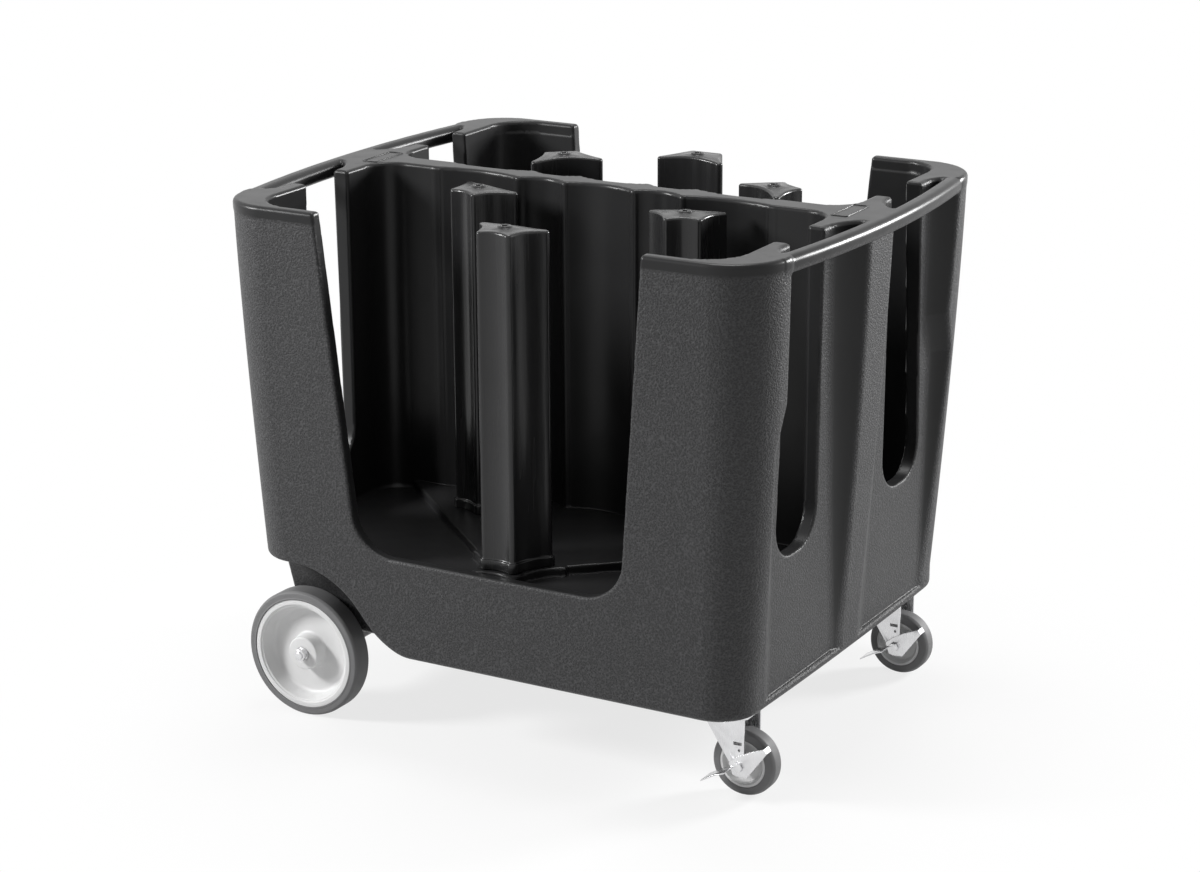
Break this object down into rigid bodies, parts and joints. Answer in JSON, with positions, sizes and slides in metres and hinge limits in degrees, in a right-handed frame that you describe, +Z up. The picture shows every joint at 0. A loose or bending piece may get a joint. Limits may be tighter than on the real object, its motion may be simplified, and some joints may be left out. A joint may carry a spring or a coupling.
{
  "type": "plate dispenser cart",
  "caption": "Moulded open plate cart with a centre partition, lift-out dividers, slotted ends with push rails, large fixed wheels at one end and braked swivel casters at the other",
  "frame": {"origin": "ground level under the middle of the cart", "axes": "+Z up, +X towards the swivel casters, -Y the near long side in the picture"},
  "size_m": [0.9478, 0.7694, 0.8072],
  "materials": {
    "body_plastic": "fine orange peel texture outside, smoother inside",
    "divider_plastic": "smooth, low gloss",
    "wheel_plastic": "smooth moulded nylon",
    "tyre_grey": "non-marking grey rubber, matt",
    "bush_plastic": "smooth",
    "zinc_steel": "bright zinc plate",
    "ball_steel": "polished",
    "brass_insert": "turned"
  },
  "bodies": {
    "cart": {"body_deck": "body_plastic", "body_rear_deck": "body_plastic", "body_near_skirt": "body_plastic", "body_far_skirt": "body_plastic", "body_partition": "body_plastic", "body_front_pillar": "body_plastic", "body_front_rail": "body_plastic", "body_front_near_web": "body_plastic", "body_front_near_corner": "body_plastic", "body_front_far_web": "body_plastic", "body_front_far_corner": "body_plastic", "body_rear_pillar": "body_plastic", "body_rear_rail": "body_plastic", "body_rear_near_web": "body_plastic", "body_rear_near_corner": "body_plastic", "body_rear_far_web": "body_plastic", "body_rear_far_corner": "body_plastic", "rear_axle": "zinc_steel", "axle_washers": "zinc_steel", "axle_nuts": "zinc_steel", "caster_bolts": "zinc_steel", "caster_inserts": "brass_insert", "near_caster_plate": "zinc_steel", "near_caster_kingpin": "zinc_steel", "near_caster_balls": "ball_steel", "far_caster_plate": "zinc_steel", "far_caster_kingpin": "zinc_steel", "far_caster_balls": "ball_steel"},
    "near_wheel": {"near_wheel_rim": "wheel_plastic", "near_wheel_tyre": "tyre_grey", "near_wheel_bush": "bush_plastic"},
    "near_caster_swivel": {"near_caster_fork": "zinc_steel", "near_caster_pin": "zinc_steel", "near_caster_nut": "zinc_steel"},
    "near_caster_wheel": {"near_caster_rim": "wheel_plastic", "near_caster_tyre": "tyre_grey", "near_caster_bush": "bush_plastic"},
    "near_caster_pedal": {"near_caster_brake": "zinc_steel"},
    "far_wheel": {"far_wheel_rim": "wheel_plastic", "far_wheel_tyre": "tyre_grey", "far_wheel_bush": "bush_plastic"},
    "far_caster_swivel": {"far_caster_fork": "zinc_steel", "far_caster_pin": "zinc_steel", "far_caster_nut": "zinc_steel"},
    "far_caster_wheel": {"far_caster_rim": "wheel_plastic", "far_caster_tyre": "tyre_grey", "far_caster_bush": "bush_plastic"},
    "far_caster_pedal": {"far_caster_brake": "zinc_steel"},
    "lift_near_left": {"divider_near_left": "divider_plastic"},
    "lift_near_centre": {"divider_near_centre": "divider_plastic"},
    "lift_near_right": {"divider_near_right": "divider_plastic"},
    "lift_far_left": {"divider_far_left": "divider_plastic"},
    "lift_far_centre": {"divider_far_centre": "divider_plastic"},
    "lift_far_right": {"divider_far_right": "divider_plastic"}
  },
  "joints": [
    {"name": "near_wheel_spin", "type": "hinge", "parent": "cart", "child": "near_wheel", "pos_m": [-0.345, -0.3225, 0.1], "axis": [0, 1, 0], "continuous": true},
    {"name": "near_caster_turn", "type": "hinge", "parent": "cart", "child": "near_caster_swivel", "pos_m": [0.352, -0.272, 0.1], "axis": [0, 0, 1], "continuous": true},
    {"name": "near_caster_spin", "type": "hinge", "parent": "near_caster_swivel", "child": "near_caster_wheel", "pos_m": [0.383, -0.272, 0.05], "axis": [0, 1, 0], "continuous": true},
    {"name": "near_brake_press", "type": "hinge", "parent": "near_caster_swivel", "child": "near_caster_pedal", "pos_m": [0.383, -0.272, 0.05], "axis": [0, -1, 0], "range_deg": [0, 15]},
    {"name": "far_wheel_spin", "type": "hinge", "parent": "cart", "child": "far_wheel", "pos_m": [-0.345, 0.3225, 0.1], "axis": [0, 1, 0], "continuous": true},
    {"name": "far_caster_turn", "type": "hinge", "parent": "cart", "child": "far_caster_swivel", "pos_m": [0.352, 0.272, 0.1], "axis": [0, 0, 1], "continuous": true},
    {"name": "far_caster_spin", "type": "hinge", "parent": "far_caster_swivel", "child": "far_caster_wheel", "pos_m": [0.383, 0.272, 0.05], "axis": [0, 1, 0], "continuous": true},
    {"name": "far_brake_press", "type": "hinge", "parent": "far_caster_swivel", "child": "far_caster_pedal", "pos_m": [0.383, 0.272, 0.05], "axis": [0, -1, 0], "range_deg": [0, 15]},
    {"name": "lift_out_near_left", "type": "slide", "parent": "cart", "child": "lift_near_left", "axis": [0, 0, 1], "range_m": [0, 0.545]},
    {"name": "lift_out_near_centre", "type": "slide", "parent": "cart", "child": "lift_near_centre", "axis": [0, 0, 1], "range_m": [0, 0.545]},
    {"name": "lift_out_near_right", "type": "slide", "parent": "cart", "child": "lift_near_right", "axis": [0, 0, 1], "range_m": [0, 0.545]},
    {"name": "lift_out_far_left", "type": "slide", "parent": "cart", "child": "lift_far_left", "axis": [0, 0, 1], "range_m": [0, 0.545]},
    {"name": "lift_out_far_centre", "type": "slide", "parent": "cart", "child": "lift_far_centre", "axis": [0, 0, 1], "range_m": [0, 0.545]},
    {"name": "lift_out_far_right", "type": "slide", "parent": "cart", "child": "lift_far_right", "axis": [0, 0, 1], "range_m": [0, 0.545]}
  ]
}
